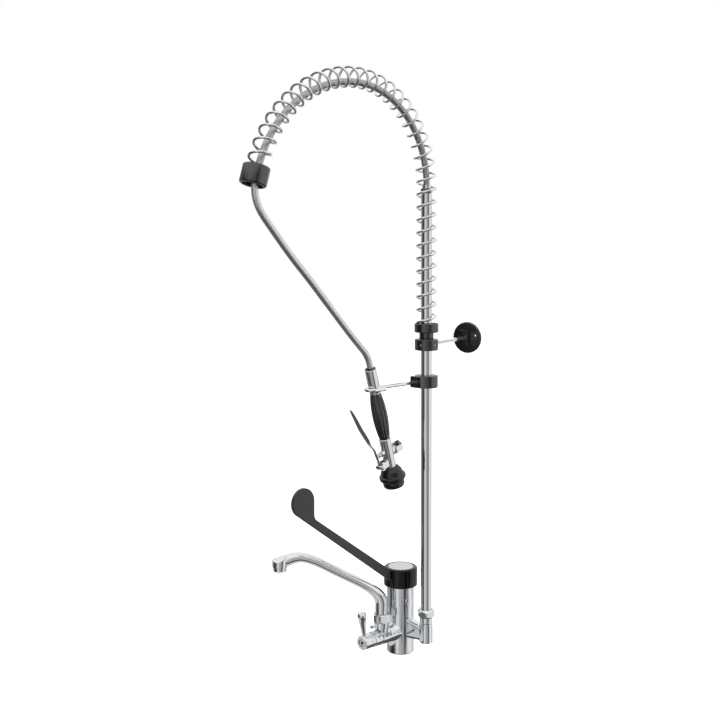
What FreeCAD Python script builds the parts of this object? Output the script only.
import FreeCAD, Part
import math
import os

V = FreeCAD.Vector

# Frame: the origin is the centre of the mixer column's underside, on the deck. +Z is up.
# The front, where the user stands, is -Y. The riser pipe stands on the +X side. Sizes are millimetres.

# Clearances
fit = 0.10            # between curved faces of pieces that don't move on each other
running = 0.08        # radial, on pins and spindles that turn
swing = 0.35          # between pieces that move past each other

# Mixer body
body_r = 27.0
body_top = 134.0
foot_chamfer = 2.0
seat_z = 95.0         # floor of the cartridge chamber
chamber_r = 20.2
thread_r = 21.5       # ring nut's thread in the chamber's mouth
thread_depth = 11.0
seal_outer_r = 24.0
seal_inner_r = 20.0
seal_depth = 2.5
inlet_x = 8.0
inlet_y = 12.0
inlet_thread_r = 4.5
inlet_depth = 18.0
check_valve_r = 4.0
check_valve_length = 12.0
water_way_r = 3.5
stud_thread_r = 3.4
stud_depth = 20.0
stud_y = -11.0
outlet_way_r = 3.6
outlet_way_y = -13.5

# Valve arm, towards the front, with the spout boss on it
arm_z = 41.5
arm_r = 15.3
arm_root = [(18.0, 44.6, 20.6), (29.0, 43.2, 17.6), (40.0, 41.5, 15.3)]  # distance out, height, radius
arm_end = 62.0
arm_bore_r = 7.0
boss_y = 53.5         # spout axis, in front of the column's axis
boss_top = 60.0
boss_r = 13.2
boss_ring_r = 14.6
boss_ring_top = 66.0
boss_thread_r = 11.9  # the union nut screws on it
boss_thread_top = 76.0
boss_neck_r = 9.0     # the spout turns on it
boss_neck_top = 92.0
boss_way_r = 6.0

# Riser arm and its socket
riser_x = 67.0
socket_r = 13.2
socket_bottom = 33.5
socket_top = 65.5
socket_bore_r = 8.5
riser_arm_root = (12.0, 30.0, 76.0)    # half width, lowest and highest point, at the column
riser_arm_end = (9.0, 36.0, 60.0)      # the same, at the socket
riser_way_z = 49.0
riser_way_r = 5.0

# Cartridge and handle
pivot_z = 118.0
cartridge_top = 123.0
cartridge_mouth_r = 14.0
turret_r = 13.0
turret_bottom = 104.0
turret_top = 121.0
stem_side = 8.0
stem_top = 148.5
stem_bottom = 109.0
pin_r = 1.5
nut_mouth_r = 16.0
handle_r = 33.0
handle_inner_r = 29.5
handle_bottom = 130.3
handle_top = 166.5
handle_ceiling = 151.5
handle_boss_r = 9.0
handle_boss_bottom = 143.5
cap_r = 25.0
cap_thickness = 3.0
cap_recess = 2.4
mark_r = 1.6
mark_thickness = 0.4
grub_r = 2.5
blade_thickness = 7.5
blade_slope_low = 35.3
blade_slope_high = 34.4
blade_high_z = 166.5  # blade's upper edge where it meets the ring
paddle_y = 258.0
paddle_z = 336.0
blade_corner_r = 8.0
paddle_r = 26.0
blade_edge_round = 1.6

# Spout: points of its centre line as distance out, height, lean from straight up, and radius
spout_turn = -45.0    # heading at rest, from straight ahead towards -X
union_nut_skirt = 66.2   # lower end of the nut's round skirt
union_nut_low = 70.0
union_nut_high = 86.0
union_nut_flats = 31.0
union_shoulder = 79.0 # the nut's inner shoulder, which holds the spout's flange down
spout_tail_r = 10.6
spout_flange_r = 11.7
spout_flange = 76.3   # flange's underside
spout_flange_thickness = 2.0
spout_bore_top = 94.0
spout_wall = 1.5
spout_way_r = 9.0     # most that the passage measures
spout_seal_places = (80.0, 86.0)
spout_seal_width = 2.4
spout_seal_inner = 7.7
spout_line = [
    (0.0, 86.3, 0.0, 12.6),
    (0.0, 104.0, 0.0, 12.6),
    (2.2, 114.5, 20.0, 12.3),
    (8.4, 123.5, 42.0, 11.2),
    (18.5, 131.8, 60.0, 9.8),
    (32.0, 140.3, 62.8, 9.2),
    (80.0, 164.0, 63.4, 9.2),
    (124.0, 185.4, 65.0, 9.1),
    (144.0, 192.4, 73.0, 9.4),
    (160.0, 194.4, 94.0, 9.9),
    (179.0, 189.6, 110.0, 10.9),
    (193.0, 186.5, 110.0, 9.0),
]
nozzle_out = 196.5    # nozzle's axis, from the spout's
nozzle_r = 15.2
nozzle_low = 176.0
nozzle_high = 195.1   # top of its sloping crown, above its axis
nozzle_slope = 20.0
nozzle_crown_r = 22.0
nozzle_way_top = 188.0
aerator_r = 13.4
aerator_low = 168.0
aerator_thread_r = 11.0
aerator_thread_depth = 5.0
aerator_bore_r = 9.5

# Side valve on the arm's end
bonnet_r = 14.2
bonnet_end = 82.0
bonnet_tail_r = 6.8
hub_r = 13.4
hub_end = 108.5
spindle_r = 4.0
plug_r = 7.0
plug_sink = 1.4
lever_y = 99.5
lever_lean = 9.0      # towards the front
lever_length = 60.0   # from the hub's axis line to the lever's top
lever_root_r = 4.2
lever_head_r = 8.8
stop_screw_flats = 7.5
stop_screw_height = 6.0
stop_shank_r = 2.4
stop_z = 57.3
stop_turn = 205.0     # its heading in the boss's side, from +X
stop_face = 17.5      # the head's inner end, from the boss's axis

# Riser
riser_r = 10.6
riser_wall = 1.5
riser_high = 896.0
nipple_r = 12.6
nipple_thread_r = 11.6
nipple_top = 90.0
riser_nut_low = 84.6
riser_nut_high = 98.0
riser_nut_flats = 31.0
riser_nut_round_r = 17.2
riser_nut_top_r = 13.4
riser_nut_bore_r = 12.0
tail_thickness = 2.0
gasket_thickness = 2.0

# Black collars and clamps on the riser. They follow the height of the rod to the wall.
rod_z = 607.5
wall_clamp_r = 22.4
wall_clamp_half = 10.5
wall_clamp_low = rod_z - wall_clamp_half
wall_clamp_high = rod_z + wall_clamp_half
collar_r = 23.0
collar_gap = 0.4
collar_neck_r = 13.6
collar_neck_length = 12.6
collar_height = 17.0
collar_neck_low = wall_clamp_high + collar_gap
collar_low = collar_neck_low + collar_neck_length
collar_high = collar_low + collar_height
collar_seat_r = 20.6
collar_seat_depth = 7.0
hook_drop = 72.0      # from the rod down to the hook
hook_z = rod_z - hook_drop
hook_clamp_r = 22.0
hook_clamp_under = 10.0
hook_clamp_over = 13.0
hook_clamp_low = hook_z - hook_clamp_under
hook_clamp_high = hook_z + hook_clamp_over
clamp_slit = 1.6
clamp_block_reach = 27.5
clamp_block_half = 10.0
clamp_screw_r = 2.6

# Wall bracket
bracket_turn = 11.3   # the rod's turn from straight back, towards -X
rod_r = 4.0
rod_start = 21.0
flange_face = 165.0   # wall plane, from the riser's axis
flange_r = 31.6
flange_thickness = 5.0
flange_block = (11.0, 8.0, 16.5, 15.0)   # half width at the corners and waist, half height at the same
flange_boss_height = 12.0
flange_pcd = 40.0
flange_hole_r = 2.3
flange_bolt_turn = 14.0

# Wire hook
wire_r = 3.5
hook_start = 15.0     # the wire's end in the clamp, in front of the riser's axis
hook_bend_r = 10.9
hook_reach = 148.6    # from the riser's axis to the centre of the hook's bend
hook_return = 24.0    # straight leg after the bend

# Spring and its arch
spring_r = 17.6       # coil's mean radius
spring_wire_r = 2.4
spring_sink = 3.5     # the coil's foot in the collar's rim
spring_low = collar_high - spring_sink
arch_near_r = 190.0   # from straight up to the top
arch_far_r = 240.0    # from the top to the end cap
arch_z = 910.0        # height where the near arc begins
arch_far_sweep = 73.0
arch_tail = 9.0       # straight stretch after the arch, inside the end cap
spring_turns = 36
spring_phase = -120.0  # of the coil's foot, from the arch's inner side

# End cap
cap_outer_r = 23.4
cap_length = 33.0
cap_spring_depth = 12.0
cap_mouth_depth = 14.0
cap_mouth_r = 18.4
cap_hole_r = 8.4

# Hose
hose_r = 6.2
hose_inset = 7.0      # how far the hose hangs towards the inside at the arch's top
hose_end_inset = 3.5  # and in the end cap
connector_flats = 20.0
connector_neck_r = 8.2
connector_way_r = 3.5
connector_low = 896.0
connector_high = 912.0

# The hose's free stretch starts inside the end cap: how far along the cap, and how far towards
# the arch's inside. It goes on in the riser's plane to inside the hand spray's sleeve, through
# these points: distance in front of the riser, and height.
free_hose_start = (6.5, 2.6)
free_hose = [
    (423.3, 907.5),
    (423.6, 888.0),
    (418.2, 869.5),
    (407.5, 852.8),
    (384.0, 826.7),
    (343.5, 782.0),
    (300.5, 740.5),
    (256.8, 695.0),
    (212.4, 649.0),
    (184.5, 621.5),
    (164.8, 603.3),
    (154.8, 586.0),
    (150.1, 566.6),
]

# Hand spray: heights are along its own axis, from the point where the hook holds its neck
neck_inset = 6.6      # the neck's axis, behind the hook's bend
spray_y = hook_reach - neck_inset
spray_tilt = 16.0
sleeve_top = 39.5
sleeve_bottom = 5.4
sleeve_r = 10.9
sleeve_bore_depth = 13.0
sleeve_bore_r = 6.8
neck_r = 6.9
collar_low_h = -7.4
collar_high_h = -4.6
spray_collar_r = 10.2
grip_low = -97.0
grip_rings = [(-7.4, 10.0), (-17.0, 11.7), (-38.0, 13.7), (-58.0, 14.2), (-76.0, 12.8), (-97.0, 9.6)]
flute_count = 10
flute_r = 2.2
flute_depth = 0.9
tube_r = 5.0
tube_bore_r = 3.5
spray_body_r = 11.0
spray_body_low = -156.0
branch_h = -125.0
branch_r = 8.2
branch_reach = 14.5
valve_cap_flats = 21.0
valve_cap_reach = 32.0
gland_h = -122.0
gland_flats = 10.0
gland_reach = 16.5
plunger_r = 2.5
plunger_tip = 26.5
pivot_h = -145.0
pivot_out = 24.0
lug_thickness = 2.4
lug_gap = 9.0
lug_r = 5.0
pivot_pin_r = 1.9
trigger_line = [(-0.5, -145.0), (5.0, -118.0), (6.5, -106.0), (17.5, -90.5), (31.0, -58.0), (44.1, -11.7)]
trigger_plate = 1.8
trigger_shank_width = 7.0
trigger_blade_width = 15.0
trigger_eye_r = 4.2
bell_profile = [
    (12.8, -152.5),
    (14.0, -153.8),
    (17.9, -160.5),
    (20.4, -167.0),
    (24.0, -169.2),
    (25.0, -172.0),
    (25.0, -176.0),
    (23.8, -178.5),
    (19.2, -179.5),
    (19.2, -181.5),
    (20.2, -183.0),
    (20.2, -189.0),
    (18.4, -192.5),
]
bell_mouth_r = 14.5
bell_mouth_depth = 11.0
face_r = 14.3
face_thickness = 3.0
face_hole_r = 0.9


def cylinder(radius, low, high, x=0.0, y=0.0):
    """Upright cylinder between two heights."""
    return Part.makeCylinder(radius, high - low, V(x, y, low))


def ring(outer, inner, low, high, x=0.0, y=0.0):
    """Upright tube between two heights."""
    return cylinder(outer, low, high, x, y).cut(cylinder(inner, low - 1, high + 1, x, y))


def rod(start, end, radius):
    """Round bar between two points."""
    return Part.makeCylinder(radius, (end - start).Length, start, end - start)


def box(x0, x1, y0, y1, z0, z1):
    """Box from its lowest and highest corners."""
    return Part.makeBox(x1 - x0, y1 - y0, z1 - z0, V(x0, y0, z0))


def hexagon(flats, low, high, x=0.0, y=0.0, turn=0.0):
    """Upright hexagonal bar, with its corners chamfered by a cone at both ends."""
    corner_r = flats / math.sqrt(3)
    corners = []
    for i in range(7):
        angle = math.radians(60 * i + turn)
        corners.append(V(x + corner_r * math.cos(angle), y + corner_r * math.sin(angle), low))
    bar = Part.Face(Part.makePolygon(corners)).extrude(V(0, 0, high - low))
    rise = corner_r - flats / 2
    outline = [(0, low), (flats / 2, low), (corner_r, low + rise), (corner_r, high - rise),
               (flats / 2, high), (0, high)]
    return bar.common(turned(outline, x, y))


def turned(outline, x=0.0, y=0.0):
    """Solid of revolution about an upright axis, from (radius, height) corners."""
    points = [V(x + r, y, z) for r, z in outline]
    face = Part.Face(Part.makePolygon(points + points[:1]))
    return face.revolve(V(x, y, 0), V(0, 0, 1), 360)


def laid(shape):
    """An upright shape with its +Z turned to the front, about the arm's axis line."""
    placed = shape.copy()
    placed.rotate(V(0, 0, 0), V(1, 0, 0), 90)
    placed.translate(V(0, 0, arm_z))
    return placed


def fused(first, *others):
    """One solid from several, without seams on shared faces."""
    whole = first
    for other in others:
        whole = whole.fuse(other)
    return whole.removeSplitter()


def cut(shape, *tools):
    for tool in tools:
        shape = shape.cut(tool)
    return shape


def export(name, shape):
    """Write one node, and say if it isn't sound."""
    solids = shape.Solids
    if not solids or not shape.isValid():
        print("unsound", name, len(solids), shape.isValid())
    if shape.ShapeType != "Solid" and len(solids) == 1:
        shape = solids[0]
    shape.exportStep("parts/" + name + ".step")


def arc_edge(start, corner, end):
    """Arc from start to end, tangent to the lines from both to the corner."""
    chord = end - start
    middle = (start + end) * 0.5
    to_corner = corner - middle
    half_turn = (corner - start).getAngle(chord)
    rise = chord.Length / 2 * math.tan(half_turn / 2)
    if to_corner.Length < 1e-9 or rise < 1e-7:
        return Part.LineSegment(start, end).toShape()
    peak = middle + to_corner * (rise / to_corner.Length)
    return Part.Arc(start, peak, end).toShape()


def biarc(start, heading, end, end_heading):
    """Two arcs that join two points with given headings."""
    gap = end - start
    both = heading + end_heading
    spread = 2 * (1 - heading.dot(end_heading))
    along = gap.dot(both)
    reach = (-along + math.sqrt(along * along + spread * gap.dot(gap))) / spread
    first_corner = start + heading * reach
    second_corner = end - end_heading * reach
    join = (first_corner + second_corner) * 0.5
    return [arc_edge(start, first_corner, join), arc_edge(join, second_corner, end)]


def tube(edges, radius):
    """Solid tube along joined edges."""
    first = edges[0]
    start = first.valueAt(first.FirstParameter)
    heading = first.tangentAt(first.FirstParameter)
    section = Part.Wire(Part.makeCircle(radius, start, heading))
    return Part.Wire(edges).makePipeShell([section], True, False)


def rounded_route(points):
    """Straight runs joined by tangent arcs, as large as their runs allow, with the arcs' radii."""
    edges = []
    radii = []
    last = points[0]
    for before, corner, after in zip(points, points[1:], points[2:]):
        inward = corner - before
        outward = after - corner
        shorter = min(inward.Length, outward.Length)
        half_turn = inward.getAngle(outward) / 2
        reach = 0.45 * shorter
        radii.append(reach / math.tan(half_turn))
        arc_start = corner - inward * (reach / inward.Length)
        arc_end = corner + outward * (reach / outward.Length)
        edges.append(Part.LineSegment(last, arc_start).toShape())
        edges.append(arc_edge(arc_start, corner, arc_end))
        last = arc_end
    edges.append(Part.LineSegment(last, points[-1]).toShape())
    return edges, radii


def in_riser_plane(forward, height):
    return V(riser_x, -forward, height)


def arch_place(distance, inset=0.0):
    """Point on the spring's centre line, its heading, and the way to the arch's inside.

    The line climbs the riser, goes over the arch in two arcs and ends in a straight tail. The
    distance is counted from the spring's foot, and inset moves the point towards the arch's inside.
    """
    climb = arch_z - spring_low
    near_length = arch_near_r * math.pi / 2
    far_length = arch_far_r * math.radians(arch_far_sweep)
    extra = 0.0
    if distance < climb:
        angle = 0.0
        forward, height = 0.0, spring_low + distance
    elif distance < climb + near_length:
        angle = (distance - climb) / arch_near_r
        forward = arch_near_r * (1 - math.cos(angle))
        height = arch_z + arch_near_r * math.sin(angle)
    else:
        swept = min(distance - climb - near_length, far_length) / arch_far_r
        extra = max(distance - climb - near_length - far_length, 0.0)
        angle = math.pi / 2 + swept
        forward = arch_near_r + arch_far_r * math.sin(swept)
        height = arch_z + arch_near_r - arch_far_r * (1 - math.cos(swept))
    heading = in_plane_vector(math.sin(angle), math.cos(angle))
    inward = in_plane_vector(math.cos(angle), -math.sin(angle))
    point = in_riser_plane(forward, height) + heading * extra + inward * inset
    return point, heading, inward


def in_plane_vector(forward, up):
    return V(0, -forward, up)


def spring_length():
    arcs = arch_near_r * math.pi / 2 + arch_far_r * math.radians(arch_far_sweep)
    return arch_z - spring_low + arcs + arch_tail


def coil_point(turns):
    """Point on the spring's wire after so many turns, rising right-handed round its centre line."""
    place, heading, inward = arch_place(turns / spring_turns * spring_length())
    across = heading.cross(inward)
    angle = 2 * math.pi * turns + math.radians(spring_phase)
    return place + inward * (spring_r * math.cos(angle)) + across * (spring_r * math.sin(angle))


def coil_heading(turns):
    small = 1e-5
    step = coil_point(turns + small) - coil_point(turns - small)
    return step.normalize()


def make_spring():
    """Coil spring as one unbroken wire, of two biarcs a turn, up the riser and round the arch."""
    steps = spring_turns * 4
    edges = []
    for i in range(steps):
        start, end = i / 4, (i + 1) / 4
        edges += biarc(coil_point(start), coil_heading(start), coil_point(end), coil_heading(end))
    least = 1e9
    per_turn = 48
    samples = [coil_point(i / per_turn) for i in range(spring_turns * per_turn + 1)]
    for i, point in enumerate(samples):
        for other in samples[i + per_turn // 2:i + per_turn * 2]:
            least = min(least, point.distanceToPoint(other))
    print("spring: least gap to itself", round(least - 2 * spring_wire_r, 2))
    return tube(edges, spring_wire_r)


def make_mixer_body():
    """One brass casting: column, valve arm with the spout boss, riser arm with its socket."""
    column = turned([(0, 0), (body_r - foot_chamfer, 0), (body_r, foot_chamfer), (body_r, body_top - 1),
                     (body_r - 1, body_top), (0, body_top)])
    rings = []
    for out, height, radius in arm_root:
        rings.append(Part.Wire(Part.makeCircle(radius, V(0, -out, height), V(0, -1, 0))))
    root = Part.makeLoft(rings, True, False)
    arm = laid(cylinder(arm_r, arm_root[-1][0], arm_end))
    boss = cylinder(boss_r, arm_z, boss_top, 0, -boss_y)
    boss = boss.cut(box(-boss_r, boss_r, -boss_y - boss_r, -arm_end, arm_z - 1, arm_z + arm_r))
    neck = turned([(0, boss_top), (boss_ring_r, boss_top), (boss_ring_r, boss_ring_top),
                   (boss_thread_r, boss_ring_top), (boss_thread_r, boss_thread_top),
                   (boss_neck_r, boss_thread_top), (boss_neck_r, boss_neck_top),
                   (0, boss_neck_top)], 0, -boss_y)
    for place in spout_seal_places:
        neck = neck.cut(ring(boss_neck_r + 1, spout_seal_inner - fit, place - fit,
                             place + spout_seal_width + fit, 0, -boss_y))
    riser_arm = Part.makeLoft([arm_section(0, riser_arm_root), arm_section(riser_x, riser_arm_end)], True)
    socket = turned([(0, socket_bottom), (socket_r - 1, socket_bottom), (socket_r, socket_bottom + 1),
                     (socket_r, socket_top), (0, socket_top)], riser_x)
    whole = column
    for piece in (root, arm, boss, neck, riser_arm, socket):
        whole = whole.fuse(piece)
    chamber = cylinder(chamber_r, seat_z, body_top + 1)
    mouth = cylinder(thread_r, body_top - thread_depth, body_top + 1)
    seal_groove = ring(seal_outer_r, seal_inner_r, -1, seal_depth)
    tools = [chamber, mouth, seal_groove, cylinder(stud_thread_r, -1, stud_depth, 0, stud_y)]
    for side in (-1, 1):
        tools.append(cylinder(inlet_thread_r, -1, inlet_depth, side * inlet_x, inlet_y))
        tools.append(cylinder(check_valve_r, 0, inlet_depth + check_valve_length, side * inlet_x, inlet_y))
        tools.append(cylinder(water_way_r, 0, seat_z + 1, side * inlet_x, inlet_y))
    tools.append(cylinder(outlet_way_r, riser_way_z - riser_way_r, seat_z + 1, 0, outlet_way_y))
    tools.append(rod(V(0, outlet_way_y, riser_way_z), V(0, 0, riser_way_z), outlet_way_r))
    tools.append(rod(V(0, 0, riser_way_z), V(riser_x, 0, riser_way_z), riser_way_r))
    tools.append(rod(V(0, outlet_way_y, arm_z + 4), V(0, -arm_end - 1, arm_z + 4), outlet_way_r))
    tools.append(rod(V(0, -arm_end + 22, arm_z), V(0, -arm_end - 1, arm_z), arm_bore_r))
    tools.append(in_boss_side(cylinder(stop_shank_r + fit, boss_way_r + 1.8, boss_r + 3)))
    tools.append(cylinder(boss_way_r, arm_z, boss_neck_top + 1, 0, -boss_y))
    tools.append(cylinder(socket_bore_r, riser_way_z - riser_way_r, socket_top + 1, riser_x))
    return cut(whole, *tools)


def in_boss_side(shape):
    """An upright shape laid down, pointing out of the boss's side where the stop screw is."""
    placed = shape.copy()
    placed.rotate(V(0, 0, 0), V(0, 1, 0), 90)
    placed.rotate(V(0, 0, 0), V(0, 0, 1), stop_turn)
    placed.translate(V(0, -boss_y, stop_z))
    return placed


def arm_section(x, sizes):
    """Rounded upright section of the riser arm, at a distance from the column's axis."""
    half, low, high = sizes
    corner = half * 0.6
    corners = [V(x, -half, low), V(x, half, low), V(x, half, high), V(x, -half, high)]
    edges = []
    for i in range(4):
        before = corners[i - 1]
        here = corners[i]
        after = corners[(i + 1) % 4]
        start = here + (before - here).normalize() * corner
        end = here + (after - here).normalize() * corner
        edges.append(arc_edge(start, here, end))
        following = corners[(i + 1) % 4]
        next_start = following + (here - following).normalize() * corner
        edges.append(Part.LineSegment(end, next_start).toShape())
    return Part.Wire(edges)


def make_mixer_fittings():
    export("mixer_body", make_mixer_body())
    export("base_seal", ring(seal_outer_r - fit, seal_inner_r + fit, 0, seal_depth))
    valves = []
    for side in (-1, 1):
        valves.append(ring(check_valve_r - fit, 1.5, inlet_depth, inlet_depth + check_valve_length,
                           side * inlet_x, inlet_y))
    export("check_valves", Part.makeCompound(valves))
    housing = cylinder(chamber_r - fit, seat_z, cartridge_top)
    housing = cut(housing,
                  cylinder(turret_r + running, turret_bottom - 0.2, turret_top + 0.5),
                  cylinder(cartridge_mouth_r, turret_top + 0.5, cartridge_top + 1),
                  cylinder(outlet_way_r, seat_z - 1, turret_bottom, 0, outlet_way_y + 3))
    for side in (-1, 1):
        housing = housing.cut(cylinder(water_way_r, seat_z - 1, turret_bottom, side * inlet_x, inlet_y - 4))
    export("cartridge_housing", housing)
    nut = ring(thread_r - fit, nut_mouth_r, cartridge_top, body_top)
    for i in range(4):
        slot = box(nut_mouth_r - 1, thread_r - 2.5, -2, 2, body_top - 3, body_top + 1)
        slot.rotate(V(0, 0, 0), V(0, 0, 1), 45 + 90 * i)
        nut = nut.cut(slot)
    export("cartridge_nut", nut)


def make_cartridge_and_handle():
    slot_half = stem_side / 2 + 0.2
    turret = cylinder(turret_r, turret_bottom, turret_top)
    turret = cut(turret,
                 box(-slot_half, slot_half, -8.0, 10.5, stem_bottom - 1.5, turret_top + 1),
                 rod(V(-turret_r - 1, 0, pivot_z), V(turret_r + 1, 0, pivot_z), pin_r + fit))
    export("cartridge_turret", turret)
    export("stem_pin", rod(V(-turret_r + 0.6, 0, pivot_z), V(turret_r - 0.6, 0, pivot_z), pin_r))
    half = stem_side / 2
    stem = box(-half, half, -half, half, stem_bottom, stem_top)
    stem = stem.cut(rod(V(-half - 1, 0, pivot_z), V(half + 1, 0, pivot_z), pin_r + running))
    export("cartridge_stem", stem)
    export("elbow_lever", make_elbow_lever())
    cap_z = handle_top - cap_recess
    cap = turned([(0, cap_z), (cap_r - fit, cap_z), (cap_r - fit, cap_z + cap_thickness - 0.8),
                  (cap_r - 1.2, cap_z + cap_thickness), (0, cap_z + cap_thickness)])
    mark_place = cap_r - 5.5
    cap = cap.cut(cylinder(mark_r + fit, cap_z + cap_thickness - mark_thickness, cap_z + 9, 0, -mark_place))
    export("handle_cap", cap)
    top = cap_z + cap_thickness
    export("index_mark", cylinder(mark_r, top - mark_thickness, top, 0, -mark_place))
    screw_z = (handle_boss_bottom + handle_ceiling) / 2
    screw = rod(V(0, half + 0.1, screw_z), V(0, handle_boss_r - 0.3, screw_z), grub_r - fit)
    export("handle_screw", screw)


def make_elbow_lever():
    """Black moulding: a round cover over the column's top, with a flat blade and a round paddle."""
    cover = turned([(0, handle_ceiling), (handle_inner_r, handle_ceiling), (handle_inner_r, handle_bottom),
                    (handle_r - 1.2, handle_bottom), (handle_r, handle_bottom + 1.2),
                    (handle_r, handle_top - 4), (handle_r - 0.8, handle_top - 1.6),
                    (handle_r - 3, handle_top), (0, handle_top)])
    half = stem_side / 2
    boss = cylinder(handle_boss_r, handle_boss_bottom, handle_ceiling + 1)
    inside = handle_r - 2.2
    low = math.radians(blade_slope_low)
    centre = V(0, -paddle_y, paddle_z)
    low_tangent = centre + V(0, -math.sin(low), -math.cos(low)) * paddle_r
    low_root = V(0, -inside, low_tangent.z - (-low_tangent.y - inside) * math.tan(low))
    far = centre + V(0, -math.cos(math.radians(45)), math.sin(math.radians(45))) * paddle_r
    near = centre + V(0, paddle_r, 0)
    rise = math.tan(math.radians(blade_slope_high))
    corner = V(0, near.y, blade_high_z + (-near.y - handle_r) * rise)
    high_root = V(0, -inside, blade_high_z - (handle_r - inside) * rise)
    above = corner + V(0, 0, blade_corner_r)
    along = corner + (high_root - corner).normalize() * blade_corner_r
    edges = [Part.LineSegment(low_root, low_tangent).toShape(),
             Part.Arc(low_tangent, far, near).toShape(),
             Part.LineSegment(near, above).toShape(),
             arc_edge(above, corner, along),
             Part.LineSegment(along, high_root).toShape(),
             Part.LineSegment(high_root, low_root).toShape()]
    plate = Part.Face(Part.Wire(edges)).extrude(V(blade_thickness, 0, 0))
    plate.translate(V(-blade_thickness / 2, 0, 0))
    side = blade_thickness / 2
    rims = []
    for edge in plate.Edges:
        if abs(abs(edge.CenterOfMass.x) - side) < 1e-3 and edge.CenterOfMass.y < -handle_r - 1:
            rims.append(edge)
    plate = plate.makeFillet(blade_edge_round, rims)
    whole = fused(cover, boss, plate)
    screw_z = (handle_boss_bottom + handle_ceiling) / 2
    return cut(whole,
               box(-half, half, -half, half, handle_boss_bottom - 1, stem_top + 0.1),
               cylinder(cap_r, handle_top - cap_recess, handle_top + 1),
               rod(V(0, 0, screw_z), V(0, handle_boss_r + 1, screw_z), grub_r),
               rod(V(0, handle_inner_r - 2, screw_z), V(0, handle_r + 1, screw_z), grub_r + 0.5))


def spout_frame(distance, height):
    """Point of the spout's plane, from the distance out and the height."""
    angle = math.radians(spout_turn - 90)
    return V(distance * math.cos(angle), -boss_y + distance * math.sin(angle), height)


def spout_loft(shrink, most, first):
    """Loft through the spout's round sections, smaller by a wall and at most so wide."""
    sections = []
    for distance, height, lean, radius in spout_line[first:]:
        circle = Part.Wire(Part.makeCircle(min(radius - shrink, most)))
        circle.rotate(V(0, 0, 0), V(0, 1, 0), lean)
        circle.rotate(V(0, 0, 0), V(0, 0, 1), spout_turn - 90)
        circle.translate(spout_frame(distance, height))
        sections.append(circle)
    return Part.makeLoft(sections, True, False)


def nozzle(x, y):
    """Upright nozzle under a crown that slopes down to the spout's tip, with a rounded edge."""
    slope = math.radians(nozzle_slope)
    middle = nozzle_high - nozzle_crown_r / math.cos(slope)
    ends = []
    for out in (-40, 40):
        ends.append(spout_frame(nozzle_out + out, middle - out * math.tan(slope)))
    body = cylinder(nozzle_r, nozzle_low, nozzle_high + 20, x, y).common(rod(ends[0], ends[1], nozzle_crown_r))
    rim = []
    for edge in body.Edges:
        if edge.BoundBox.ZMin > nozzle_low + 4 and not isinstance(edge.Curve, Part.Line):
            rim.append(edge)
    return body.makeFillet(1.6, rim)


def make_spout():
    """Swivel spout: a flanged tail in the union, an elbow, a rising pipe and a domed nozzle."""
    out_x = spout_frame(nozzle_out, 0).x
    out_y = spout_frame(nozzle_out, 0).y
    mouth_z = nozzle_low
    base_z = spout_line[0][1]
    flange_top = spout_flange + spout_flange_thickness
    tail = turned([(0, spout_flange), (spout_flange_r, spout_flange), (spout_flange_r, flange_top),
                   (spout_tail_r, flange_top), (spout_tail_r, base_z + 1), (0, base_z + 1)], 0, -boss_y)
    spout = fused(spout_loft(0, nozzle_r, 0), tail, nozzle(out_x, out_y))
    spout = cut(spout,
                cylinder(boss_neck_r + swing, spout_flange - 1, spout_bore_top, 0, -boss_y),
                cylinder(spout_way_r - 0.4, spout_bore_top - 1, spout_line[1][1] + 2, 0, -boss_y),
                spout_loft(spout_wall, spout_way_r, 1),
                cylinder(spout_way_r, mouth_z - 1, nozzle_way_top, out_x, out_y),
                cylinder(aerator_thread_r, mouth_z - 1, mouth_z + aerator_thread_depth, out_x, out_y))
    export("spout_tube", spout)
    nut = hexagon(union_nut_flats, union_nut_low, union_nut_high, 0, -boss_y, 15)
    skirt = cylinder(union_nut_flats / 2, union_nut_skirt, union_nut_low, 0, -boss_y)
    nut = cut(nut.fuse(skirt).removeSplitter(),
              cylinder(boss_thread_r + fit, union_nut_skirt - 1, union_shoulder, 0, -boss_y),
              cylinder(spout_tail_r + swing, union_shoulder - 1, union_nut_high + 1, 0, -boss_y))
    export("spout_nut", nut)
    seals = []
    for height in spout_seal_places:
        seals.append(ring(boss_neck_r + swing - fit, spout_seal_inner,
                          height, height + spout_seal_width, 0, -boss_y))
    export("spout_seals", Part.makeCompound(seals))
    keeper = ring(spout_flange_r, spout_tail_r + fit, flange_top, union_shoulder, 0, -boss_y)
    export("spout_retainer", keeper)
    housing = turned([(0, aerator_low), (aerator_r - 0.8, aerator_low), (aerator_r, aerator_low + 0.8),
                      (aerator_r, mouth_z - 0.9), (aerator_r - 0.6, mouth_z), (0, mouth_z)], out_x, out_y)
    collar = cylinder(aerator_thread_r - fit, mouth_z - 1, mouth_z + aerator_thread_depth - 1.2, out_x, out_y)
    housing = cut(housing.fuse(collar).removeSplitter(),
                  cylinder(aerator_bore_r, aerator_low + 3, mouth_z + 9, out_x, out_y),
                  cylinder(aerator_bore_r - 1.5, aerator_low - 1, aerator_low + 4, out_x, out_y))
    export("aerator_housing", housing)
    insert = ring(aerator_bore_r - fit, 1.0, aerator_low + 3, mouth_z, out_x, out_y)
    for i in range(8):
        angle = math.radians(45 * i)
        hole_x = out_x + 5 * math.cos(angle)
        hole_y = out_y + 5 * math.sin(angle)
        insert = insert.cut(cylinder(1.2, aerator_low, mouth_z + 1, hole_x, hole_y))
    export("aerator_insert", insert)
    washer_low = mouth_z + aerator_thread_depth - 1.2
    export("aerator_washer", ring(aerator_thread_r - fit, 7.5, washer_low, washer_low + 1.2, out_x, out_y))


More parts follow.
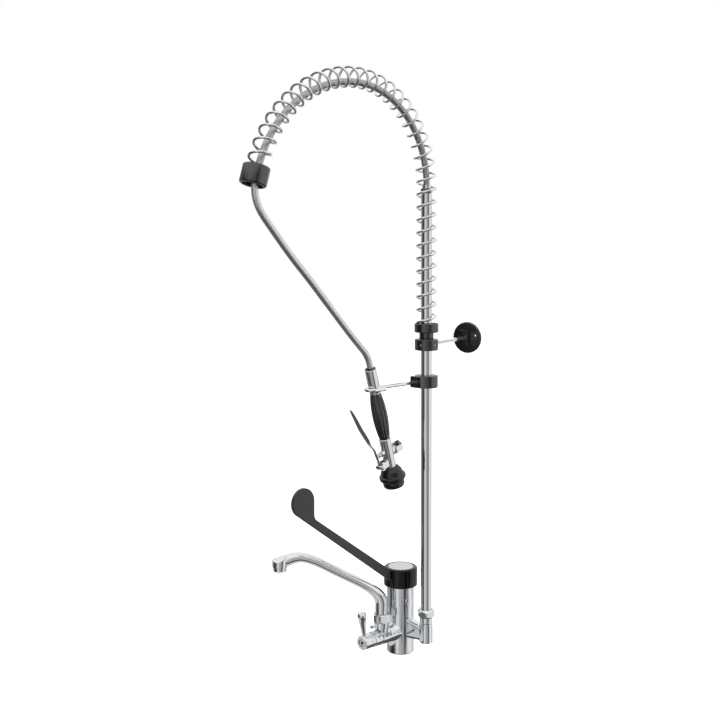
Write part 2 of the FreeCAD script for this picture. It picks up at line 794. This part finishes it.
def make_side_valve():
    """Quarter-turn valve on the arm's end: bonnet, spindle, and a hub with a teardrop lever."""
    bonnet = laid(turned([(0, arm_end - 14), (bonnet_tail_r, arm_end - 14), (bonnet_tail_r, arm_end),
                          (bonnet_r - 0.8, arm_end), (bonnet_r, arm_end + 0.8), (bonnet_r, bonnet_end),
                          (0, bonnet_end)]))
    spindle_seat = laid(cylinder(spindle_r + running, arm_end - 10, bonnet_end + 1))
    export("valve_bonnet", bonnet.cut(spindle_seat))
    export("valve_spindle", laid(cylinder(spindle_r, arm_end - 9, hub_end - 8)))
    hub = laid(turned([(0, bonnet_end + swing), (hub_r, bonnet_end + swing), (hub_r, hub_end - 1.5),
                       (hub_r - 1.5, hub_end), (0, hub_end)]))
    lever = turned([(0, 0), (lever_root_r, 0), (lever_root_r + 0.4, 16),
                    (lever_head_r - 1.6, lever_length - 16), (lever_head_r, lever_length - 7),
                    (lever_head_r - 0.5, lever_length - 3.8), (lever_head_r - 1.8, lever_length - 1.5),
                    (lever_head_r - 4, lever_length), (0, lever_length)])
    lever.rotate(V(0, 0, 0), V(1, 0, 0), lever_lean)
    lever.translate(V(0, -lever_y, arm_z))
    handle = fused(hub, lever)
    handle = cut(handle,
                 laid(cylinder(spindle_r + fit, bonnet_end - 1, hub_end - 8)),
                 laid(cylinder(plug_r + fit, hub_end - 3.4, hub_end + 1)),
                 laid(cylinder(hub_r - 2.4, hub_end - plug_sink, hub_end + 1)).cut(
                     laid(cylinder(plug_r + 1.6, hub_end - plug_sink - 1, hub_end + 2))),
                 rod(V(spindle_r - 1, -lever_y + 8, arm_z + 2), V(hub_r + 1, -lever_y + 8, arm_z + 2), 1.6))
    export("valve_handle", handle)
    export("valve_end_plug", laid(cylinder(plug_r, hub_end - 3.4, hub_end - plug_sink)))
    screw = rod(V(spindle_r + fit, -lever_y + 8, arm_z + 2), V(hub_r - 1.5, -lever_y + 8, arm_z + 2), 1.5)
    export("valve_handle_screw", screw)
    head = hexagon(stop_screw_flats, stop_face, stop_face + stop_screw_height)
    shank = cylinder(stop_shank_r, boss_way_r + 2, stop_face + 1)
    export("stop_screw", in_boss_side(head.fuse(shank).removeSplitter()))


def make_riser():
    """Riser pipe with its union in the socket and the hose connector on top."""
    waist = nipple_r - 1.6
    nipple = turned([(0, socket_top - 9), (socket_bore_r - fit, socket_top - 9),
                     (socket_bore_r - fit, socket_top),
                     (nipple_r, socket_top), (nipple_r, socket_top + 5), (waist, socket_top + 5.8),
                     (waist, socket_top + 7.4), (nipple_r, socket_top + 8.2),
                     (nipple_r, riser_nut_low - 2.6), (nipple_thread_r, riser_nut_low - 1.6),
                     (nipple_thread_r, nipple_top), (0, nipple_top)], riser_x)
    export("riser_nipple", nipple.cut(cylinder(riser_way_r, socket_top - 10, nipple_top + 1, riser_x)))
    tail_low = nipple_top + gasket_thickness
    tube_low = tail_low + tail_thickness
    export("riser_gasket", ring(nipple_thread_r, riser_way_r + 0.5, nipple_top, tail_low, riser_x))
    tail = ring(nipple_thread_r, riser_way_r, tail_low, tube_low, riser_x)
    tail = tail.fuse(ring(riser_r - riser_wall - fit, riser_way_r, tail_low + 1, tail_low + 16, riser_x))
    export("riser_tail", tail.removeSplitter())
    export("riser_tube", ring(riser_r, riser_r - riser_wall, tube_low, riser_high, riser_x))
    nut = hexagon(riser_nut_flats, riser_nut_low, riser_nut_high, riser_x, 0, 15)
    barrel = turned([(0, riser_nut_low), (riser_nut_round_r - 1.5, riser_nut_low),
                     (riser_nut_round_r, riser_nut_low + 2), (riser_nut_round_r, riser_nut_high - 5),
                     (riser_nut_top_r, riser_nut_high), (0, riser_nut_high)], riser_x)
    nut = cut(nut.common(barrel),
              cylinder(riser_nut_bore_r, riser_nut_low - 1, tube_low + 0.3, riser_x),
              cylinder(riser_r + fit, riser_nut_low - 1, riser_nut_high + 1, riser_x))
    export("riser_nut", nut)
    connector = hexagon(connector_flats, connector_low, connector_high - 6, riser_x)
    connector = fused(connector,
                      cylinder(connector_neck_r, connector_high - 6, connector_high, riser_x),
                      cylinder(riser_r - riser_wall - fit, connector_low - 12, connector_low + 1, riser_x))
    connector = cut(connector,
                    cylinder(connector_way_r, connector_low - 13, connector_high + 1, riser_x),
                    cylinder(hose_r + fit, connector_high - 5, connector_high + 1, riser_x))
    export("hose_connector", connector)


def clamp_ring(low, high, outer):
    """Plain collar with small chamfers, about the upright axis."""
    return turned([(0, low), (outer - 1, low), (outer, low + 1),
                   (outer, high - 1), (outer - 1, high), (0, high)])


def turned_about_riser(shape, degrees):
    placed = shape.copy()
    placed.rotate(V(0, 0, 0), V(0, 0, 1), degrees)
    placed.translate(V(riser_x, 0, 0))
    return placed


def make_hook():
    """Black clamp on the riser with the chromed wire that hooks round the hand spray's neck."""
    middle = (hook_clamp_low + hook_clamp_high) / 2
    body = clamp_ring(hook_clamp_low, hook_clamp_high, hook_clamp_r)
    block = box(-hook_bend_r - 5.5, clamp_block_half, -clamp_block_reach, 0,
                hook_clamp_low + 1.0, hook_clamp_high - 1.0)
    body = body.fuse(block).removeSplitter()
    body = cut(body,
               cylinder(riser_r + fit, hook_clamp_low - 1, hook_clamp_high + 1),
               box(4.0, 4.0 + clamp_slit, -clamp_block_reach - 1, -riser_r + 1,
                   hook_clamp_low - 1, hook_clamp_high + 1),
               rod(V(-hook_bend_r, -clamp_block_reach - 1, hook_z), V(-hook_bend_r, 1 - hook_start, hook_z),
                   wire_r + fit),
               rod(V(0, riser_r - 1, middle), V(0, hook_clamp_r + 1, middle), clamp_screw_r))
    export("hook_clamp", turned_about_riser(body, 0))
    screw = rod(V(0, riser_r + 0.3, middle), V(0, hook_clamp_r - 1.2, middle), clamp_screw_r - fit)
    export("hook_clamp_screws", turned_about_riser(screw, 0))
    left = riser_x - hook_bend_r
    right = riser_x + hook_bend_r
    start = V(left, -hook_start, hook_z)
    bend_start = V(left, -hook_reach, hook_z)
    bend_top = V(riser_x, -hook_reach - hook_bend_r, hook_z)
    bend_end = V(right, -hook_reach, hook_z)
    end = V(right, -hook_reach + hook_return, hook_z)
    edges = [Part.LineSegment(start, bend_start).toShape(),
             Part.Arc(bend_start, bend_top, bend_end).toShape(),
             Part.LineSegment(bend_end, end).toShape()]
    export("hook_rod", tube(edges, wire_r))


def make_wall_bracket():
    """Black clamp, rod and round flange that tie the riser to the wall."""
    body = clamp_ring(wall_clamp_low, wall_clamp_high, wall_clamp_r)
    boss = rod(V(0, riser_r, rod_z), V(0, clamp_block_reach - 1, rod_z), 7.5)
    body = body.fuse(boss).removeSplitter()
    middle = (wall_clamp_low + wall_clamp_high) / 2
    slit = box(-wall_clamp_r - 1, -riser_r + 1, -clamp_slit / 2, clamp_slit / 2,
               wall_clamp_low - 1, wall_clamp_high + 1)
    holes = []
    screws = []
    for turn in (-88, -5):
        angle = math.radians(turn)
        out = V(math.cos(angle), math.sin(angle), 0)
        level = V(0, 0, middle)
        holes.append(rod(level + out * (riser_r - 1), level + out * (wall_clamp_r + 1), clamp_screw_r))
        screws.append(rod(level + out * (riser_r + 0.8), level + out * (wall_clamp_r - 1.4),
                          clamp_screw_r - fit))
    body = cut(body, cylinder(riser_r + swing, wall_clamp_low - 1, wall_clamp_high + 1), slit,
               rod(V(0, rod_start, rod_z), V(0, clamp_block_reach + 1, rod_z), rod_r + fit), *holes)
    export("wall_clamp", turned_about_riser(body, bracket_turn))
    export("wall_clamp_screws", turned_about_riser(Part.makeCompound(screws), bracket_turn))
    back = flange_face - flange_thickness
    boss_start = back - flange_boss_height
    rod_end = back - 1.0
    bar = rod(V(0, rod_start, rod_z), V(0, rod_end, rod_z), rod_r)
    export("wall_rod", turned_about_riser(bar, bracket_turn))
    plate = turned([(0, 0), (flange_r, 0), (flange_r, flange_thickness - 2), (flange_r - 2, flange_thickness),
                    (0, flange_thickness)])
    wide, waist, high, low = flange_block
    corners = [V(wide, high, 0), V(-wide, high, 0), V(-wide, -high, 0), V(wide, -high, 0)]
    middles = [V(0, low, 0), V(-waist, 0, 0), V(0, -low, 0), V(waist, 0, 0)]
    edges = []
    for i in range(4):
        edges.append(Part.Arc(corners[i], middles[i], corners[(i + 1) % 4]).toShape())
    boss_end = flange_thickness + flange_boss_height
    block = Part.Face(Part.Wire(edges)).extrude(V(0, 0, boss_end))
    plate = plate.fuse(block)
    plate = plate.cut(cylinder(rod_r + fit, flange_face - rod_end, boss_end + 1))
    for side in (-1, 1):
        angle = math.radians(flange_bolt_turn + 90 - 90 * side)
        x = flange_pcd / 2 * math.cos(angle)
        y = flange_pcd / 2 * math.sin(angle)
        plate = plate.cut(cylinder(flange_hole_r, -1, flange_thickness + 9, x, y))
    plate.rotate(V(0, 0, 0), V(1, 0, 0), 90)
    plate.translate(V(0, flange_face, rod_z))
    screw_y = boss_start + 5
    grub_hole = rod(V(0, screw_y, rod_z - rod_r + 0.5), V(0, screw_y, rod_z - low - 1), 2.0)
    plate = plate.cut(grub_hole)
    export("wall_flange", turned_about_riser(plate, bracket_turn))
    grub = rod(V(0, screw_y, rod_z - rod_r - 0.1), V(0, screw_y, rod_z - low + 1), 1.9)
    export("flange_screw", turned_about_riser(grub, bracket_turn))


def make_spring_collar():
    """Black collar fixed on the riser, whose rim holds the spring's foot."""
    body = turned([(0, collar_neck_low), (collar_neck_r, collar_neck_low), (collar_neck_r, collar_low),
                   (collar_r - 1.2, collar_low), (collar_r, collar_low + 1.2), (collar_r, collar_high - 1.2),
                   (collar_r - 1.2, collar_high), (0, collar_high)], riser_x)
    seat_low = collar_high - collar_seat_depth
    body = cut(body,
               cylinder(riser_r + fit, collar_neck_low - 1, collar_high + 1, riser_x),
               ring(collar_seat_r, riser_r + 2.6, seat_low, collar_high + 1, riser_x))
    screw_z = collar_low + 5
    body = body.cut(rod(V(riser_x, riser_r - 1, screw_z), V(riser_x, collar_r + 1, screw_z), 2.2))
    export("spring_collar", body)
    screw = rod(V(riser_x, riser_r + 0.2, screw_z), V(riser_x, collar_r - 1.5, screw_z), 2.1)
    export("spring_collar_screw", screw)


def cap_place():
    """The end cap's upper end on the spring's centre line, its heading, and the arch's inside."""
    place, heading, inward = arch_place(spring_length())
    return place - heading * cap_spring_depth, heading, inward


def make_spring_and_hose():
    export("spring", make_spring())
    cap_start, heading, inward = cap_place()
    cap_body = turned([(0, 0), (cap_outer_r - 1.5, 0), (cap_outer_r, 1.5), (cap_outer_r, cap_length - 2),
                       (cap_outer_r - 2, cap_length), (0, cap_length)])
    cap_body = cut(cap_body,
                   cylinder(spring_r + spring_wire_r + 0.5, -1, cap_spring_depth + 2.4),
                   cylinder(cap_mouth_r, cap_length - cap_mouth_depth, cap_length + 1),
                   cylinder(cap_hole_r, 0, cap_length, hose_end_inset, 0))
    frame = FreeCAD.Matrix(inward.x, 0, heading.x, cap_start.x,
                           inward.y, 0, heading.y, cap_start.y,
                           inward.z, 0, heading.z, cap_start.z,
                           0, 0, 0, 1)
    across = heading.cross(inward)
    frame.A12, frame.A22, frame.A32 = across.x, across.y, across.z
    export("end_cap", cap_body.transformGeometry(frame))
    start = in_riser_plane(0, connector_high - 4.9)
    along, inset = free_hose_start
    corners = [cap_start + heading * along + inward * inset]
    for point in free_hose:
        corners.append(in_riser_plane(*point))
    export("hose_upper", tube(upper_hose_edges(start, corners[0], corners[1]), hose_r))
    edges, radii = rounded_route(corners)
    hose = tube(edges, hose_r)
    length = sum(edge.Length for edge in edges)
    print("free hose: length", round(length, 1), "least radius", round(min(radii), 1),
          "radii", [round(radius) for radius in radii],
          "volume over section times length", round(hose.Volume / (math.pi * hose_r ** 2 * length), 4))
    export("hose_lower", hose)


def hose_place(distance):
    """Point of the hose inside the spring: it sags to the coil's inner side over the arch."""
    begin = connector_high - spring_low + 4
    share = min(max((distance - begin) / (spring_length() - begin), 0.0), 1.0)
    inset = hose_inset * math.sin(math.pi * share) ** 2 + hose_end_inset * share
    return arch_place(distance, inset)[0]


def upper_hose_edges(start, join, after):
    """The hose's route inside the spring, in biarcs: up, over the arch and into the end cap."""
    begin = connector_high - spring_low + 4
    finish = spring_length() - 14
    step_count = 18
    step = (finish - begin) / step_count
    points = [hose_place(begin + step * i) for i in range(step_count + 1)] + [join]
    headings = []
    for i in range(step_count + 1):
        place = begin + step * i
        headings.append((hose_place(place + 0.5) - hose_place(place - 0.5)).normalize())
    headings[0] = in_plane_vector(0, 1)
    headings.append((after - join).normalize())
    edges = [Part.LineSegment(start, points[0]).toShape()]
    for i in range(step_count + 1):
        edges += biarc(points[i], headings[i], points[i + 1], headings[i + 1])
    return edges


def spray_shape(shape):
    """Place a shape made about the hand spray's own axis; local -Y is its front."""
    placed = shape.copy()
    placed.rotate(V(0, 0, 0), V(1, 0, 0), spray_tilt)
    placed.translate(V(riser_x, -spray_y, hook_z))
    return placed


def facing_front(shape, height):
    """An upright shape with its +Z turned to the hand spray's front, at a height."""
    placed = shape.copy()
    placed.rotate(V(0, 0, 0), V(1, 0, 0), 90)
    placed.translate(V(0, 0, height))
    return placed


def facing_back(shape, height):
    placed = shape.copy()
    placed.rotate(V(0, 0, 0), V(1, 0, 0), -90)
    placed.translate(V(0, 0, height))
    return placed


def make_spray_top():
    """Chrome sleeve over the hose's end, with the thin neck that hangs in the hook."""
    sleeve = turned([(0, collar_high_h), (neck_r, collar_high_h), (neck_r, sleeve_bottom),
                     (sleeve_r - 0.8, sleeve_bottom), (sleeve_r, sleeve_bottom + 0.8),
                     (sleeve_r, sleeve_top - 0.8),
                     (sleeve_r - 0.8, sleeve_top), (0, sleeve_top)])
    bore_low = sleeve_top - sleeve_bore_depth
    sleeve = cut(sleeve,
                 cylinder(sleeve_bore_r + 0.7, bore_low, sleeve_top + 1),
                 cylinder(4.2, collar_high_h - 1, bore_low + 1))
    export("hose_sleeve", spray_shape(sleeve))
    bushing = ring(sleeve_r - 0.6, sleeve_bore_r + 0.9, sleeve_top, sleeve_top + 1.6)
    export("sleeve_ring", spray_shape(bushing))
    ferrule = ring(sleeve_bore_r + 0.7 - fit, 3.0, bore_low, bore_low + 2.4)
    export("hose_ferrule", spray_shape(ferrule))
    collar = turned([(0, collar_low_h), (spray_collar_r, collar_low_h), (spray_collar_r, collar_high_h - 0.8),
                     (spray_collar_r - 0.8, collar_high_h), (0, collar_high_h)])
    export("handset_collar", spray_shape(collar.cut(cylinder(4.2, -20, 0))))


def make_grip():
    """Black moulded grip, a barrel with shallow flutes, on a water tube."""
    sections = []
    for height, radius in grip_rings:
        sections.append(Part.Wire(Part.makeCircle(radius, V(0, 0, height), V(0, 0, 1))))
    barrel = Part.makeLoft(sections, True, False)
    for i in range(flute_count):
        angle = math.radians(360 / flute_count * (i + 0.5))
        out = V(math.cos(angle), math.sin(angle), 0)
        points = []
        for height, radius in grip_rings[1:-1]:
            points.append(out * (radius + flute_r - flute_depth) + V(0, 0, height))
        for start, end in zip(points, points[1:]):
            barrel = barrel.cut(rod(start, end, flute_r))
        for point in points:
            barrel = barrel.cut(Part.makeSphere(flute_r, point))
    barrel = barrel.cut(cylinder(tube_r + fit, grip_low - 1, 0))
    export("grip", spray_shape(barrel))
    export("grip_tube", spray_shape(ring(tube_r, tube_bore_r, grip_low - 8, collar_low_h)))


def make_spray_valve():
    """Chrome valve body with its cap at the back, plunger in front and trigger on a pivot bolt."""
    body = turned([(0, spray_body_low), (spray_body_r - 0.8, spray_body_low),
                   (spray_body_r, spray_body_low + 0.8),
                   (spray_body_r, grip_low - 0.8), (spray_body_r - 0.8, grip_low), (0, grip_low)])
    branch = facing_back(cylinder(branch_r, 0, branch_reach), branch_h)
    lugs = []
    for side in (-1, 1):
        inner = side * lug_gap / 2
        outer = side * (lug_gap / 2 + lug_thickness)
        low_x, high_x = min(inner, outer), max(inner, outer)
        plate = box(low_x, high_x, -pivot_out, -4, pivot_h - lug_r + 2, pivot_h + 9)
        eye = rod(V(low_x, -pivot_out, pivot_h), V(high_x, -pivot_out, pivot_h), lug_r)
        lugs.append(plate.fuse(eye))
    body = fused(body, branch, *lugs)
    gland_seat = facing_front(cylinder(4.0, 0, spray_body_r + 1), gland_h)
    body = cut(body,
               cylinder(tube_r + fit, grip_low - 8, grip_low + 1),
               cylinder(tube_bore_r, gland_h - 6, grip_low),
               cylinder(6.0, spray_body_low - 1, gland_h + 3.5),
               facing_back(cylinder(6.0, 0, branch_reach + 1), branch_h),
               gland_seat,
               rod(V(-9, -pivot_out, pivot_h), V(9, -pivot_out, pivot_h), pivot_pin_r + fit))
    export("spray_body", spray_shape(body))
    cap = facing_back(hexagon(valve_cap_flats, branch_reach, valve_cap_reach, 0, 0, 30), branch_h)
    stub = facing_back(cylinder(6.0 - fit, branch_reach - 8, branch_reach + 1), branch_h)
    export("valve_cap", spray_shape(cap.fuse(stub).removeSplitter()))
    gland = facing_front(hexagon(gland_flats, spray_body_r, gland_reach), gland_h)
    gland_tail = facing_front(cylinder(4.0 - fit, 7.0, spray_body_r + 1), gland_h)
    gland = gland.fuse(gland_tail).removeSplitter()
    gland = gland.cut(facing_front(cylinder(plunger_r + running, 0, 30), gland_h))
    export("valve_gland", spray_shape(gland))
    shaft = facing_front(cylinder(plunger_r, 2.5, plunger_tip), gland_h)
    export("valve_plunger", spray_shape(shaft))
    export("valve_spring", spray_shape(return_spring()))
    export("pivot_bolt", spray_shape(pivot_bolt()))
    export("trigger_lever", spray_shape(trigger()))


def return_spring():
    """Small coil on the plunger's outer end, between the gland and the trigger."""
    coil_r = plunger_r + 1.3
    wire = 0.45
    low = gland_reach + wire
    high = plunger_tip - 0.9
    turns = 4
    edges = []

    def place(t):
        angle = 2 * math.pi * t
        return V(coil_r * math.cos(angle), coil_r * math.sin(angle), low + (high - low) * t / turns)

    def heading(t):
        return (place(t + 1e-4) - place(t - 1e-4)).normalize()

    for i in range(turns * 4):
        a, b = i / 4, (i + 1) / 4
        edges += biarc(place(a), heading(a), place(b), heading(b))
    return facing_front(tube(edges, wire), gland_h)


def pivot_bolt():
    reach = lug_gap / 2 + lug_thickness
    shank = rod(V(-reach - 2, -pivot_out, pivot_h), V(reach + 2, -pivot_out, pivot_h), pivot_pin_r)
    ends = []
    for side in (-1, 1):
        nut = hexagon(7.0, 0, 3.2)
        nut.rotate(V(0, 0, 0), V(0, 1, 0), 90 * side)
        nut.translate(V(side * (reach + fit), -pivot_out, pivot_h))
        ends.append(nut)
    return fused(shank, *ends)


def trigger():
    """Pressed plate: an eye on the pivot bolt, a narrow shank and a wide spoon blade."""
    half = trigger_plate / 2
    front = []
    back = []
    for i, (out, height) in enumerate(trigger_line):
        before = trigger_line[max(i - 1, 0)]
        after = trigger_line[min(i + 1, len(trigger_line) - 1)]
        along = V(0, -(after[0] - before[0]), after[1] - before[1]).normalize()
        side = V(0, -along.z, along.y)
        centre = V(0, -(pivot_out + out), height)
        front.append(centre + side * half)
        back.append(centre - side * half)
    outline = front + back[::-1]
    profile = Part.Face(Part.makePolygon(outline + outline[:1]))
    wide = profile.extrude(V(trigger_blade_width, 0, 0))
    wide.translate(V(-trigger_blade_width / 2, 0, 0))
    narrow = trigger_shank_width / 2
    broad = trigger_blade_width / 2
    right_side = [(narrow, -152), (narrow, -104), (broad, -78), (broad, -25), (4.5, -9), (0, -7)]
    reach = pivot_out + trigger_line[-1][0] + 10
    mask = [V(x, 0, z) for x, z in right_side] + [V(-x, 0, z) for x, z in right_side[::-1][1:]]
    cutter = Part.Face(Part.makePolygon(mask + mask[:1])).extrude(V(0, -reach, 0))
    blade = wide.common(cutter)
    eye = rod(V(-narrow, -pivot_out, pivot_h), V(narrow, -pivot_out, pivot_h), trigger_eye_r)
    blade = blade.fuse(eye).removeSplitter()
    return blade.cut(rod(V(-9, -pivot_out, pivot_h), V(9, -pivot_out, pivot_h), pivot_pin_r + running))


def make_spray_head():
    """Rubber bell on the valve body's foot, with the perforated spray face inside its mouth."""
    low = bell_profile[-1][1]
    bell = turned([(0, bell_profile[0][1])] + bell_profile + [(0, low)])
    bell = cut(bell,
               cylinder(spray_body_r + fit, spray_body_low, 0),
               cylinder(bell_mouth_r, low - 1, low + bell_mouth_depth),
               cylinder(7.0, low, spray_body_low + 1))
    export("spray_bell", spray_shape(bell))
    face_high = low + bell_mouth_depth
    face = cylinder(face_r, face_high - face_thickness, face_high)
    for count, radius in ((6, 4.5), (12, 9.5)):
        for i in range(count):
            angle = 2 * math.pi * i / count
            x, y = radius * math.cos(angle), radius * math.sin(angle)
            face = face.cut(cylinder(face_hole_r, face_high - 9, face_high + 1, x, y))
    export("spray_face", spray_shape(face))


os.makedirs("parts", exist_ok=True)
make_mixer_fittings()
make_cartridge_and_handle()
make_spout()
make_side_valve()
make_riser()
make_hook()
make_wall_bracket()
make_spring_collar()
make_spring_and_hose()
make_spray_top()
make_grip()
make_spray_valve()
make_spray_head()
